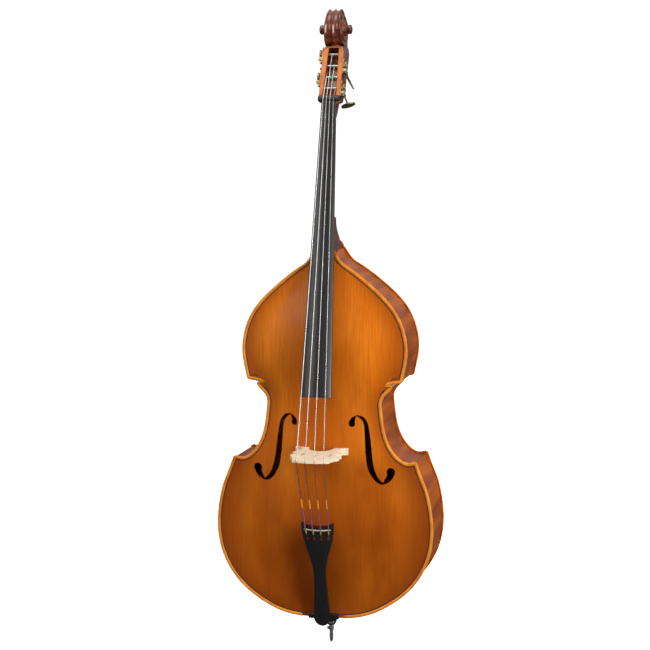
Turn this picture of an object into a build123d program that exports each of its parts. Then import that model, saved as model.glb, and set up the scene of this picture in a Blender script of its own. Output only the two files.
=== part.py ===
from build123d import *
import math
import os

os.makedirs("parts", exist_ok=True)

# Double bass, upright on its endpin.  Millimetres, +Z up, the front faces -Y and
# +X is the treble side.  The origin is the endpin's tip, on the endpin's own axis.

# ---- driving dimensions: the body ----
BODY_BOTTOM = 104.0        # lowest point of the plates
BODY_TOP = 1207.0          # top of the plates, at the neck
FRONT_EDGE = -105.0        # front face of the top plate at its edge
RIB_FRONT = -99.0          # front end of the ribs
RIB_BACK = 99.0            # back end of the ribs, below the taper
TAPER_START = 1000.0       # height where the back starts to lean to the neck
TAPER_RADIUS = 438.0       # radius of the back's lean, seen from the side
PLATE_EDGE = 6.0           # plate thickness at the edge
PLATE_MIDDLE = 8.0         # plate thickness in the arch
ARCH_HEIGHT = 30.0         # rise of each arched plate
OVERHANG = 4.0             # plates stand proud of the ribs
RIB_THICK = 2.2
PURFLING_IN = 9.0          # edge to the purfling strip
PURFLING_WIDE = 2.6
PURFLING_DEEP = 2.0

# widths the arch follows: height, half width
ARCH_STATIONS = ((104.0, 120.0), (385.0, 318.0), (737.0, 165.0), (900.0, 240.0), (1207.0, 60.0))
ARCH_RUN = 285.0           # length over which the arch dies to the ends

INSET_POINTS = 14          # points that carry each curve of a moved-in outline

# ---- driving dimensions: neck, pegbox and scroll ----
NECK_SLOPE = 11.6          # lean of the neck, degrees
NUT_POINT = (-33.0, 1639.0)    # glue plane of the fingerboard at the nut (Y, Z)
FB_LENGTH = 875.0
FB_NUT_HALF = 21.8
FB_END_HALF = 46.0
FB_EDGE = 8.0
PEG_LEAN = 24.0            # lean of the pegbox, degrees
PEG_HALF = 32.0            # half width of the pegbox at the machines
POST_HEIGHTS = (1780.0, 1745.0, 1711.0, 1678.0)
POST_LOW_Y = -10.0
POST_RADIUS = 4.5
EYE = (60.0, 1856.0)       # scroll eye (Y, Z)
EYE_RADIUS = 14.5
EAR_HALF = 48.0

# ---- driving dimensions: machines ----
GEAR_TEETH = 18
GEAR_TIP = 15.2
GEAR_ROOT = 12.6
GEAR_THICK = 5.0
WORM_OUTER = 5.5
WORM_CORE = 3.3
WORM_LEAD = 4.89
CENTRES = 18.8             # worm axis to gear axis
TOOTH_ROOT = 1.1           # half thickness of a gear tooth at its root
TOOTH_TIP = 0.45
THREAD_ROOT = 1.05         # half thickness of the worm's thread at its root
THREAD_TIP = 0.45
WORM_TURNS = 3
WORM_HALF = 9.4            # half length of the worm's thick part
WING_HALF = 22.0
WING_THICK = 4.5
GEAR_X = 40.0              # middle plane of gears and worms
PLATE_THICK = 2.0
SHAFT_RADIUS = 2.5
RUNNING = 0.06             # radial clearance of every running fit
KEY_REACH = 74.0           # worm middle to the wing's middle

# ---- driving dimensions: bridge, strings and fittings ----
BRIDGE_BACK = 603.0
BRIDGE_FOOT_THICK = 20.0
BRIDGE_TOP_THICK = 6.0
BRIDGE_BASE = -118.0
BRIDGE_TOP_HALF = 54.0
STRING_RADII = (1.5, 1.25, 1.05, 0.9)          # E, A, D, G
STRING_AT_BRIDGE = (-40.0, -13.3, 13.3, 40.0)
STRING_AT_NUT = (-15.5, -5.2, 5.2, 15.5)
STRING_AT_FRET = (-35.0, -11.7, 11.7, 35.0)
STRING_AT_HOLE = (-31.0, -10.4, 10.4, 31.0)
TAIL_TOP = (-205.0, 408.0)
TAIL_LENGTH = 333.0
TAIL_LEAN = 13.4
TAIL_CROWN = 110.0         # radius of the tailpiece's crowned face
FRET_DOWN = 19.0           # tailpiece top to its fret
HOLE_DOWN = 50.0           # tailpiece top to the string holes
BRIDGE_CROWN = 150.0
BRIDGE_TOP_Y = -293.5      # crown of the bridge
WIRE_RADIUS = 1.8
COLLAR_GROOVE = 18.0
WIRE_LEVEL = 97.0
ROD_RADIUS = 5.5
ROD_TOP = 330.0
SLEEVE_RADIUS = 7.5
SLEEVE_LOW = 37.0
SCREW_LEVEL = 46.0


# ---------------------------------------------------------------- helpers
# outline of the plates, drawn flat on the treble side: sketch Y is the height Z
with BuildLine() as half_line:
    lower_bout = Spline(
        (0, BODY_BOTTOM), (135, 119), (205, 155), (262, 203), (303, 264),
        (328, 385), (309.5, 500), (278.5, 580), tangents=[(1, 0), (-0.35, 1)],
    )
    Line((278.5, 580), (272, 584))
    waist = Spline(
        (272, 584), (250, 580.5), (214, 604), (187.5, 652), (173, 737),
        (180, 775), (203, 808), (230, 817.5), tangents=[(-1, -0.25), (1, 0.15)],
    )
    Line((230, 817.5), (234.5, 821))
    upper_bout = Spline(
        (234.5, 821), (248.5, 900), (225, 1006), (155, 1090), (72, 1155),
        (30, BODY_TOP), tangents=[(0.2, 1), (-0.45, 1)],
    )
    Line((30, BODY_TOP), (0, BODY_TOP))

with BuildSketch() as outline:
    with BuildLine():
        add(half_line.line)
        mirror(about=Plane.YZ)
    make_face()


def crossing(first, second):
    """Where two runs of points cross: index in each and the point."""
    for i in range(len(first) - 1, 0, -1):
        ax, ay = first[i - 1]
        bx, by = first[i]
        for j in range(len(second) - 1):
            cx, cy = second[j]
            dx, dy = second[j + 1]
            area = (bx - ax) * (dy - cy) - (by - ay) * (dx - cx)
            if abs(area) < 1e-9:
                continue
            t = ((cx - ax) * (dy - cy) - (cy - ay) * (dx - cx)) / area
            u = ((cx - ax) * (by - ay) - (cy - ay) * (bx - ax)) / area
            if 0 <= t <= 1 and 0 <= u <= 1:
                return i, j, (ax + t * (bx - ax), ay + t * (by - ay))
    raise ValueError("the runs don't cross")


corner_points = {}         # inset: its lower and upper corner points


def inset(amount):
    """The outline moved inwards, its corners brought to a point."""
    runs = []
    for curve in (lower_bout, waist, upper_bout):
        run = []
        for i in range(161):
            at = curve @ (i / 160)
            way = curve % (i / 160)
            run.append((at.X - way.Y * amount, at.Y + way.X * amount))
        # run both ends on a little so that neighbours meet
        begin = curve % 0
        end = curve % 1
        run.insert(0, (run[0][0] - 9 * begin.X, run[0][1] - 9 * begin.Y))
        run.append((run[-1][0] + 9 * end.X, run[-1][1] + 9 * end.Y))
        runs.append(run)
    runs[0] = runs[0][1:]
    runs[0][0] = (0, BODY_BOTTOM + amount)
    top = [(90, BODY_TOP - amount), (0, BODY_TOP - amount)]
    i, j, low_tip = crossing(runs[0], runs[1])
    runs[0] = runs[0][:i] + [low_tip]
    runs[1] = [low_tip] + runs[1][j + 1:]
    i, j, high_tip = crossing(runs[1], runs[2])
    runs[1] = runs[1][:i] + [high_tip]
    runs[2] = [high_tip] + runs[2][j + 1:]
    i, j, neck_corner = crossing(runs[2], top)
    runs[2] = runs[2][:i] + [neck_corner]
    corner_points[amount] = (low_tip, high_tip)
    with BuildSketch() as shape:
        with BuildLine():
            for run in runs:
                last = len(run) - 1
                picked = [run[round(last * k / INSET_POINTS)] for k in range(INSET_POINTS + 1)]
                Spline(*picked)
            Line(neck_corner, top[1])
            mirror(about=Plane.YZ)
        make_face()
    return shape.sketch


def arch_width(z):
    """Half width the arch follows at height z."""
    z = min(max(z, ARCH_STATIONS[0][0]), ARCH_STATIONS[-1][0])
    for (z0, w0), (z1, w1) in zip(ARCH_STATIONS, ARCH_STATIONS[1:]):
        if z <= z1:
            blend = (1 - math.cos(math.pi * (z - z0) / (z1 - z0))) / 2
            return w0 + (w1 - w0) * blend
    return w1


def arch(x, z):
    """Rise of a plate above its edge at (x, z)."""
    run = min(z - BODY_BOTTOM, BODY_TOP - z) / ARCH_RUN
    run = min(max(run, 0.0), 1.0)
    along = run * run * (3 - 2 * run)
    across = min(abs(x) / arch_width(z), 1.0)
    return ARCH_HEIGHT * along * (1 + math.cos(math.pi * across)) / 2


def taper(z):
    """How far the back has come forward at height z."""
    run = max(z - TAPER_START, 0.0)
    return TAPER_RADIUS - math.sqrt(TAPER_RADIUS**2 - run * run)


def arch_space(side, shift):
    """Everything on the inner side of an arched surface; side -1 front, +1 back."""
    rows = []
    for i in range(62):
        z = 90 + 1160 * i / 61
        row = []
        for j in range(35):
            x = -345 + 690 * j / 34
            edge = FRONT_EDGE if side < 0 else RIB_BACK + PLATE_EDGE - taper(z)
            row.append(Vector(x, edge + side * arch(x, z) - side * shift, z))
        rows.append(row)
    face = Face.make_surface_from_array_of_points(rows, tol=0.02)
    return Solid.extrude(face, Vector(0, -side * 260, 0))


def peg_point(z):
    """Point (Y, Z) on the line the posts stand on."""
    return (POST_LOW_Y + math.tan(math.radians(PEG_LEAN)) * (z - POST_HEIGHTS[3]), z)


def lean_up(degrees):
    """Unit vector leaning back from +Z by an angle."""
    a = math.radians(degrees)
    return Vector(0, math.sin(a), math.cos(a))


def lean_back(degrees):
    """Unit vector square to lean_up, pointing backwards and down."""
    a = math.radians(degrees)
    return Vector(0, math.cos(a), -math.sin(a))


neck_plane = Plane(
    origin=(0, NUT_POINT[0], NUT_POINT[1]), x_dir=(1, 0, 0), z_dir=lean_up(NECK_SLOPE)
)
tail_plane = Plane(
    origin=(0, TAIL_TOP[0], TAIL_TOP[1]), x_dir=(1, 0, 0),
    z_dir=-lean_back(-TAIL_LEAN),
)

outer_front = arch_space(-1, 0)
inner_front = arch_space(-1, PLATE_MIDDLE)
outer_back = arch_space(1, 0)
inner_back = arch_space(1, PLATE_MIDDLE)


# ---------------------------------------------------------------- shared spaces
with BuildPart() as rib_depth:
    with BuildSketch(Plane.YZ):
        with BuildLine():
            Line((RIB_FRONT, 60), (RIB_BACK, 60))
            Line((RIB_BACK, 60), (RIB_BACK, TAPER_START))
            ThreePointArc(
                (RIB_BACK, TAPER_START),
                (RIB_BACK - taper(1160), 1160),
                (RIB_BACK - taper(1310), 1310),
            )
            Line((RIB_BACK - taper(1310), 1310), (RIB_FRONT, 1310))
            Line((RIB_FRONT, 1310), (RIB_FRONT, 60))
        make_face()
    extrude(amount=360, both=True)

with BuildPart() as inside:
    with BuildSketch(Plane.XZ.offset(150)):
        add(inset(OVERHANG + RIB_THICK))
    extrude(amount=-300)
    add(rib_depth.part, mode=Mode.INTERSECT)

with BuildPart() as rib_ring:
    with BuildSketch(Plane.XZ.offset(150)):
        add(inset(OVERHANG))
    extrude(amount=-300)
    add(rib_depth.part, mode=Mode.INTERSECT)
    add(inside.part, mode=Mode.SUBTRACT)


def purfling_ring(floor_space, outer_space):
    """Thin strip let into a plate near its edge."""
    with BuildPart() as ring:
        with BuildSketch(Plane.XZ.offset(200)):
            add(inset(PURFLING_IN))
        extrude(amount=-400)
        with BuildSketch(Plane.XZ.offset(200)):
            add(inset(PURFLING_IN + PURFLING_WIDE))
        extrude(amount=-400, mode=Mode.SUBTRACT)
        add(outer_space, mode=Mode.INTERSECT)
        add(floor_space, mode=Mode.SUBTRACT)
    return ring.part


# ---------------------------------------------------------------- neck
heel_top_y = NUT_POINT[0] + math.tan(math.radians(NECK_SLOPE)) * (1300 - NUT_POINT[1])
heel_low_y = NUT_POINT[0] + math.tan(math.radians(NECK_SLOPE)) * (1187 - NUT_POINT[1])

with BuildPart() as shaft:
    # heel, seen from the side, let 20 mm into the body
    with BuildSketch(Plane.YZ):
        with BuildLine():
            Line((heel_top_y, 1300), (heel_low_y, 1187))
            Line((heel_low_y, 1187), (60, 1187))
            Line((60, 1187), (60, 1212))
            Spline(
                (60, 1212), (6, 1228), (-34, 1252), (-68, 1300),
                tangents=[(-1, 0.12), (0.15, 1)],
            )
            Line((-68, 1300), (heel_top_y, 1300))
        make_face()
    extrude(amount=40, both=True)
    with BuildSketch(Plane.XY.offset(1150)):
        with BuildLine():
            Polyline((-33, -140), (33, -140), (24, 60), (-24, 60), close=True)
        make_face()
    extrude(amount=200, mode=Mode.INTERSECT)
    # nothing of the heel stands behind the line of the back plate
    with BuildSketch(Plane.YZ):
        with BuildLine():
            ThreePointArc(
                (RIB_BACK - taper(1150), 1150),
                (RIB_BACK - taper(1230), 1230),
                (RIB_BACK - taper(1310), 1310),
            )
            Line((RIB_BACK - taper(1310), 1310), (140, 1310))
            Line((140, 1310), (140, 1150))
            Line((140, 1150), (RIB_BACK - taper(1150), 1150))
        make_face()
    extrude(amount=60, both=True, mode=Mode.SUBTRACT)
    # shaft under the fingerboard
    with BuildSketch(neck_plane.offset(-2)):
        with BuildLine():
            EllipticalCenterArc((0, 0), 21.3, 27, start_angle=0, arc_size=180)
            Line((-21.3, 0), (21.3, 0))
        make_face()
    with BuildSketch(neck_plane.offset(-372)):
        with BuildLine():
            EllipticalCenterArc((0, 0), 31.5, 36, start_angle=0, arc_size=180)
            Line((-31.5, 0), (31.5, 0))
        make_face()
    loft()

with BuildPart() as peg_block:
    with BuildSketch(Plane.YZ):
        with BuildLine():
            Line((NUT_POINT[0], NUT_POINT[1]), (-29.3, 1657))
            Line((-29.3, 1657), (-35, 1657))
            Line((-35, 1657), (31, 1802))
            Spline((31, 1802), (12, 1806), (-4, 1822), (-7, 1845), tangents=[(0.3, 1), (0, 1)])
            Spline(
                (-7, 1845), (18, 1898), (62, 1917), (106, 1900), (122, 1845), (112, 1800),
                (88, 1750), (44, 1672), (13, 1634), (-10, 1607), (-38, 1588),
            )
            Line((-38, 1588), (-43.5, 1588))
            Line((-43.5, 1588), (NUT_POINT[0], NUT_POINT[1]))
        make_face()
    extrude(amount=40, both=True)
    with BuildSketch(Plane.XZ.offset(100)):
        with BuildLine():
            Polyline(
                (0, 1580), (21.3, 1580), (21.3, 1633), (PEG_HALF, 1637), (PEG_HALF, 1785),
                (23, 1822), (19, 1850), (15, 1925), (0, 1925),
            )
            mirror(about=Plane.YZ)
        make_face()
    extrude(amount=-260, mode=Mode.INTERSECT)


def turn(start, shrink, half):
    """One turn of the volute: a spiral disc about the eye."""
    with BuildPart() as disc:
        with BuildSketch(Plane.YZ):
            with BuildLine():
                pts = []
                for i in range(9):
                    a = math.radians(45 * i - 25)
                    r = start - shrink * i / 8
                    pts.append((EYE[0] + r * math.cos(a), EYE[1] + r * math.sin(a)))
                Spline(*pts)
                Line(pts[-1], pts[0])
            make_face()
        extrude(amount=half, both=True)
    return disc.part


with BuildPart() as peg_slot:
    with BuildSketch(Plane.YZ):
        with BuildLine():
            Polyline(
                (-90, 1658), (-14, 1658), (22, 1684), (60, 1745), (62, 1786), (34, 1800), (-90, 1800),
                close=True,
            )
        make_face()
    extrude(amount=40, both=True)
    with BuildSketch(Plane.XZ.offset(100)):
        with BuildLine():
            Polyline((-20.5, 1650), (20.5, 1650), (14.5, 1805), (-14.5, 1805), close=True)
        make_face()
    extrude(amount=-260, mode=Mode.INTERSECT)

with BuildPart() as post_holes:
    for height in POST_HEIGHTS:
        y, z = peg_point(height)
        with Locations(Location((0, y, z), (0, 90, 0))):
            Cylinder(POST_RADIUS + RUNNING, 90)

with BuildPart() as neck:
    add(shaft.part)
    add(peg_block.part)
    add(turn(62, 16, 22))
    add(turn(44, 12, 28))
    add(turn(31, 9, 33))
    with Locations(Location((0, EYE[0], EYE[1]), (0, 90, 0))):
        Cylinder(EYE_RADIUS, 2 * EAR_HALF)
    add(peg_slot.part, mode=Mode.SUBTRACT)
    add(post_holes.part, mode=Mode.SUBTRACT)

# ---------------------------------------------------------------- fingerboard and nut
def crowned_section(half, edge, crown):
    """Fingerboard section: flat underside on the neck, crowned face."""
    with BuildSketch() as section:
        with BuildLine():
            Line((-half, -0.05), (half, -0.05))
            Line((half, -0.05), (half, -edge))
            ThreePointArc((half, -edge), (0, -edge - crown), (-half, -edge))
            Line((-half, -edge), (-half, -0.05))
        make_face()
    return section.sketch


with BuildPart() as fingerboard:
    with BuildSketch(neck_plane):
        add(crowned_section(FB_NUT_HALF, FB_EDGE, 3.5))
    with BuildSketch(neck_plane.offset(-FB_LENGTH)):
        add(crowned_section(FB_END_HALF, FB_EDGE + 1, 13))
    loft()
fingerboard.part.label = "fingerboard"

with BuildPart() as nut_blank:
    with BuildSketch(Plane.YZ):
        with BuildLine():
            Line((-33, 1639.05), (-45.8, 1641.65))
            Line((-45.8, 1641.65), (-47, 1643.5))
            Spline((-47, 1643.5), (-46.3, 1650), (-39, 1656.9), tangents=[(0, 1), (1, 0.3)])
            Line((-39, 1656.9), (-29.4, 1656.9))
            Line((-29.4, 1656.9), (-33, 1639.05))
        make_face()
    extrude(amount=PEG_HALF, both=True)

# ---------------------------------------------------------------- machines
def side_plane(index, x, along=0.0, up=0.0):
    """Plane on the side of the pegbox at a post: x back, y up the pegbox."""
    y, z = peg_point(POST_HEIGHTS[index])
    back = lean_back(PEG_LEAN)
    rise = lean_up(PEG_LEAN)
    origin = Vector(x, y, z) + back * along + rise * up
    return Plane(origin=origin, x_dir=back, z_dir=(1, 0, 0))


def shaft_plane(index, side, along):
    """Plane square to a worm shaft, its normal pointing to the key."""
    y, z = peg_point(POST_HEIGHTS[index])
    back = lean_back(PEG_LEAN)
    rise = lean_up(PEG_LEAN)
    origin = Vector(side * GEAR_X, y, z) - rise * CENTRES + back * along
    return Plane(origin=origin, x_dir=(1, 0, 0), z_dir=back)


SIDES = (-1, 1, -1, 1)                # which cheek carries each machine
WING_TURNS = (35.0, 58.0, 80.0, -18.0)   # how each wing stands, degrees

plates = {}
brackets = {}
screws = {}
for side in (-1, 1):
    with BuildPart() as plate:
        for k in range(4):
            if SIDES[k] == side:
                with BuildSketch(side_plane(k, side * PEG_HALF)):
                    with Locations((3, -5)):
                        RectangleRounded(30, 54, 5)
                    with Locations((-8, 10), (14, 10), (-8, -20), (14, -20)):
                        Circle(5)
                    Circle(POST_RADIUS + RUNNING, mode=Mode.SUBTRACT)
                    with Locations((-8, 17), (14, 17), (-8, -28), (14, -28)):
                        Circle(1.55, mode=Mode.SUBTRACT)
                extrude(amount=side * PLATE_THICK)
    with BuildPart() as bracket:
        for k in range(4):
            if SIDES[k] == side:
                for along in (-11.5, 11.5):
                    reach = GEAR_X + 4.6 - PEG_HALF - PLATE_THICK
                    with BuildSketch(side_plane(k, side * (PEG_HALF + PLATE_THICK))):
                        with Locations((along, -CENTRES)):
                            Rectangle(3.4, 9.2)
                    extrude(amount=side * reach)
        for k in range(4):
            if SIDES[k] == side:
                with BuildSketch(shaft_plane(k, side, -20)):
                    Circle(SHAFT_RADIUS + RUNNING)
                extrude(amount=40, mode=Mode.SUBTRACT)
    with BuildPart() as screw:
        for k in range(4):
            if SIDES[k] == side:
                with BuildSketch(side_plane(k, side * (PEG_HALF + PLATE_THICK))):
                    with Locations((-8, 17), (14, 17), (-8, -28), (14, -28)):
                        Circle(2.9)
                extrude(amount=side * 1.3)
                with BuildSketch(side_plane(k, side * PEG_HALF)):
                    with Locations((-8, 17), (14, 17), (-8, -28), (14, -28)):
                        Circle(1.5)
                extrude(amount=side * PLATE_THICK)
    plates[side] = plate.part
    brackets[side] = bracket.part
    screws[side] = screw.part



def gear_outline():
    """Points of the gear's toothed edge; one tooth points straight at the worm."""
    pts = []
    for tooth in range(GEAR_TEETH):
        middle = -math.pi / 2 + 2 * math.pi * tooth / GEAR_TEETH
        for radius, half in (
            (GEAR_ROOT, -TOOTH_ROOT), (GEAR_TIP, -TOOTH_TIP),
            (GEAR_TIP, TOOTH_TIP), (GEAR_ROOT, TOOTH_ROOT),
        ):
            a = middle + math.atan2(half, radius)
            pts.append((radius * math.cos(a), radius * math.sin(a)))
    return pts


# worm thread about +Z, one crossing half a lead below the middle towards -Y
with BuildPart() as thread:
    with BuildLine() as coil:
        Helix(WORM_LEAD, WORM_LEAD * WORM_TURNS, WORM_CORE - 0.15,
              center=(0, 0, -WORM_LEAD * WORM_TURNS / 2))
    with BuildSketch(Plane(origin=coil.line @ 0, x_dir=(1, 0, 0), z_dir=coil.line % 0)):
        with BuildLine():
            Polyline(
                (0, -THREAD_ROOT), (WORM_OUTER - WORM_CORE + 0.15, -THREAD_TIP),
                (WORM_OUTER - WORM_CORE + 0.15, THREAD_TIP), (0, THREAD_ROOT), close=True,
            )
        make_face()
    sweep(is_frenet=True)

posts = []
gears = []
worms = []
keys = []
for k in range(4):
    side = SIDES[k]
    with BuildPart() as post:
        with BuildSketch(side_plane(k, -side * (PEG_HALF - 1))):
            Circle(POST_RADIUS)
        extrude(amount=side * (PEG_HALF - 1 + GEAR_X + GEAR_THICK / 2 + 1.5))
    posts.append(post.part)

    with BuildPart() as gear:
        with BuildSketch(side_plane(k, side * (GEAR_X - GEAR_THICK / 2))):
            with BuildLine():
                Polyline(*gear_outline(), close=True)
            make_face()
            Circle(POST_RADIUS, mode=Mode.SUBTRACT)
        extrude(amount=side * GEAR_THICK)
    gears.append(gear.part)

    base = shaft_plane(k, side, 0)
    coil_turned = base.location * Rotation(0, 0, -90) * thread.part
    with BuildPart() as worm:
        with BuildSketch(base.offset(-14.5)):
            Circle(SHAFT_RADIUS)
        extrude(amount=14.5 + KEY_REACH - 8)
        with BuildSketch(base.offset(-WORM_HALF)):
            Circle(WORM_CORE)
        extrude(amount=2 * WORM_HALF)
        add(coil_turned)
    worms.append(worm.part)

    with BuildPart() as key:
        with BuildSketch(base.offset(KEY_REACH - 12)):
            Circle(4.2)
        with BuildSketch(base.offset(KEY_REACH - 4)):
            Circle(3.4)
        loft()
        with BuildSketch(
            Plane(
                origin=base.origin + base.z_dir * KEY_REACH,
                x_dir=Vector(base.x_dir).rotate(Axis(base.origin, base.z_dir), WING_TURNS[k]),
                z_dir=Vector(base.x_dir).rotate(Axis(base.origin, base.z_dir), WING_TURNS[k] + 90),
            )
        ):
            Ellipse(WING_HALF, 12)
        extrude(amount=WING_THICK / 2, both=True)
        with BuildSketch(base.offset(KEY_REACH - 13)):
            Circle(SHAFT_RADIUS)
        extrude(amount=5, mode=Mode.SUBTRACT)
    keys.append(key.part)

# ---------------------------------------------------------------- strings
def crown_drop(x, radius):
    """How far a crowned face falls at x from its middle."""
    return radius - math.sqrt(radius * radius - x * x)


def on_tail(x, down, proud):
    """Point on the tailpiece: across, down from its top, proud of its face."""
    return tail_plane.from_local_coords(
        Vector(x, -down, proud - crown_drop(x, TAIL_CROWN))
    )


STRING_POST = (2, 0, 1, 3)            # post of each string, E A D G
BEND_RADIUS = 8.0
strings = []
for n in range(4):
    r = STRING_RADII[n]
    y, z = peg_point(POST_HEIGHTS[STRING_POST[n]])
    wrap = POST_RADIUS + r + 0.12
    nut_at = Vector(STRING_AT_NUT[n], -47.8 - r + 0.03 * abs(STRING_AT_NUT[n]), 1646)
    bridge_y = BRIDGE_TOP_Y + crown_drop(STRING_AT_BRIDGE[n], BRIDGE_CROWN) - 0.4 * r
    # tangent point on the front of the post
    dy = y - nut_at.Y
    dz = z - nut_at.Z
    reach = math.hypot(dy, dz)
    a0 = math.atan2(dz, dy) + math.pi - math.acos(wrap / reach)
    start = Vector(STRING_AT_NUT[n], y + wrap * math.cos(a0), z + wrap * math.sin(a0))
    wraps = []
    for turned in (0, 80, 160, 240, 320):
        a = a0 - math.radians(turned)
        wraps.append((STRING_AT_NUT[n], y + wrap * math.cos(a), z + wrap * math.sin(a)))
    hole = on_tail(STRING_AT_HOLE[n], HOLE_DOWN - 3, -9)
    over = on_tail(STRING_AT_FRET[n], FRET_DOWN, 2.9 + r)
    with BuildPart() as string:
        with BuildLine() as route:
            FilletPolyline(
                hole, over, (STRING_AT_BRIDGE[n], bridge_y, BRIDGE_BACK + 3), nut_at, start,
                radius=BEND_RADIUS,
            )
            ThreePointArc(wraps[0], wraps[1], wraps[2])
            ThreePointArc(wraps[2], wraps[3], wraps[4])
        with BuildSketch(Plane(origin=route.line @ 0, z_dir=route.line % 0)):
            Circle(r)
        sweep()
        with Locations(hole):
            Sphere(4.2)
    strings.append(string.part)

with BuildPart() as nut:
    add(nut_blank.part)
    for part in strings:
        add(part, mode=Mode.SUBTRACT)

# ---------------------------------------------------------------- bridge
with BuildPart() as bridge:
    with BuildSketch(Plane.XY.offset(BRIDGE_BACK)):
        with BuildLine():
            ThreePointArc(
                (0, BRIDGE_TOP_Y),
                (28, BRIDGE_TOP_Y + crown_drop(28, BRIDGE_CROWN)),
                (BRIDGE_TOP_HALF, BRIDGE_TOP_Y + crown_drop(BRIDGE_TOP_HALF, BRIDGE_CROWN)),
            )
            Spline(
                (BRIDGE_TOP_HALF, BRIDGE_TOP_Y + crown_drop(BRIDGE_TOP_HALF, BRIDGE_CROWN)),
                (57, -262), (68, -240), (72, -222), tangents=[(0, 1), (-0.2, 1)],
            )
            Polyline((72, -222), (62, -216), (63, -206), (73, -198))
            Spline((73, -198), (66, -182), (55, -166), (60, -142), (79, -133))
            Line((79, -133), (79, BRIDGE_BASE))
            Line((79, BRIDGE_BASE), (38, BRIDGE_BASE))
            Line((38, BRIDGE_BASE), (38, -138))
            Spline((38, -138), (33, -156), (18, -172), (0, BRIDGE_BASE - 58))
            mirror(about=Plane.YZ)
        make_face()
        with Locations((41, -214), (-41, -214)):
            Ellipse(8, 17, mode=Mode.SUBTRACT)
        with Locations((0, -212)):
            Circle(9, mode=Mode.SUBTRACT)
        with Locations((0, -224)):
            Ellipse(4.5, 14, mode=Mode.SUBTRACT)
    extrude(amount=BRIDGE_FOOT_THICK)
    # the face towards the fingerboard slopes back to a thin top
    with BuildSketch(Plane.YZ):
        with BuildLine():
            Polyline(
                (-100, BRIDGE_BACK - 5), (-330, BRIDGE_BACK - 5),
                (-330, BRIDGE_BACK + BRIDGE_TOP_THICK - 1), (-294, BRIDGE_BACK + BRIDGE_TOP_THICK),
                (-140, BRIDGE_BACK + BRIDGE_FOOT_THICK), (-100, BRIDGE_BACK + BRIDGE_FOOT_THICK),
                close=True,
            )
        make_face()
    extrude(amount=100, both=True, mode=Mode.INTERSECT)
    add(outer_front, mode=Mode.SUBTRACT)
    for part in strings:
        add(part, mode=Mode.SUBTRACT)

# ---------------------------------------------------------------- tailpiece
# a long bar with the crowned section of the tailpiece
with BuildPart() as tail_bar:
    with BuildSketch(
        Plane(origin=tail_plane.origin, x_dir=(1, 0, 0), z_dir=tail_plane.y_dir)
    ):
        with BuildLine():
            ThreePointArc(
                (-60, crown_drop(60, TAIL_CROWN)), (0, 0), (60, crown_drop(60, TAIL_CROWN))
            )
            Line((60, crown_drop(60, TAIL_CROWN)), (60, 30))
            Line((60, 30), (-60, 30))
            Line((-60, 30), (-60, crown_drop(60, TAIL_CROWN)))
        make_face()
    extrude(amount=400, both=True)

with BuildPart() as tail_hollow:
    with BuildSketch(
        Plane(origin=tail_plane.origin, x_dir=(1, 0, 0), z_dir=tail_plane.y_dir).offset(-12)
    ):
        with BuildLine():
            ThreePointArc(
                (-36, 9 + crown_drop(36, TAIL_CROWN)), (0, 9), (36, 9 + crown_drop(36, TAIL_CROWN))
            )
            Line((36, 9 + crown_drop(36, TAIL_CROWN)), (36, 60))
            Line((36, 60), (-36, 60))
            Line((-36, 60), (-36, 9 + crown_drop(36, TAIL_CROWN)))
        make_face()
    extrude(amount=-62)

# wire loop from the tailpiece, over the saddle and round the endpin's collar
loop_radius = COLLAR_GROOVE + WIRE_RADIUS + 0.05
with BuildPart() as tail_wire:
    with BuildLine() as wire_route:
        for side in (-1, 1):
            FilletPolyline(
                (side * loop_radius, 0, WIRE_LEVEL), (side * loop_radius, -50, WIRE_LEVEL),
                (side * 13, -114.8, WIRE_LEVEL), (side * 10, -118.5, 126), (side * 9, -127, 140),
                radius=4,
            )
        ThreePointArc(
            (-loop_radius, 0, WIRE_LEVEL), (0, loop_radius, WIRE_LEVEL), (loop_radius, 0, WIRE_LEVEL)
        )
    wire_path = Wire(wire_route.line.edges())
    with BuildSketch(Plane(origin=wire_path @ 0, z_dir=wire_path % 0)):
        Circle(WIRE_RADIUS)
    sweep(path=wire_path)

with BuildPart() as tail_fret:
    with BuildSketch(tail_plane.offset(4)):
        with Locations((0, -FRET_DOWN)):
            Rectangle(90, 3)
    extrude(amount=-9)
    with BuildSketch(
        Plane(origin=tail_plane.origin, x_dir=(1, 0, 0), z_dir=tail_plane.y_dir)
    ):
        with BuildLine():
            ThreePointArc(
                (-60, crown_drop(60, TAIL_CROWN) - 2.6), (0, -2.6), (60, crown_drop(60, TAIL_CROWN) - 2.6)
            )
            Line((60, crown_drop(60, TAIL_CROWN) - 2.6), (60, crown_drop(60, TAIL_CROWN) + 2))
            ThreePointArc(
                (60, crown_drop(60, TAIL_CROWN) + 2), (0, 2), (-60, crown_drop(60, TAIL_CROWN) + 2)
            )
            Line((-60, crown_drop(60, TAIL_CROWN) + 2), (-60, crown_drop(60, TAIL_CROWN) - 2.6))
        make_face()
    extrude(amount=60, both=True, mode=Mode.INTERSECT)
    for part in strings:
        add(part, mode=Mode.SUBTRACT)

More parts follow.
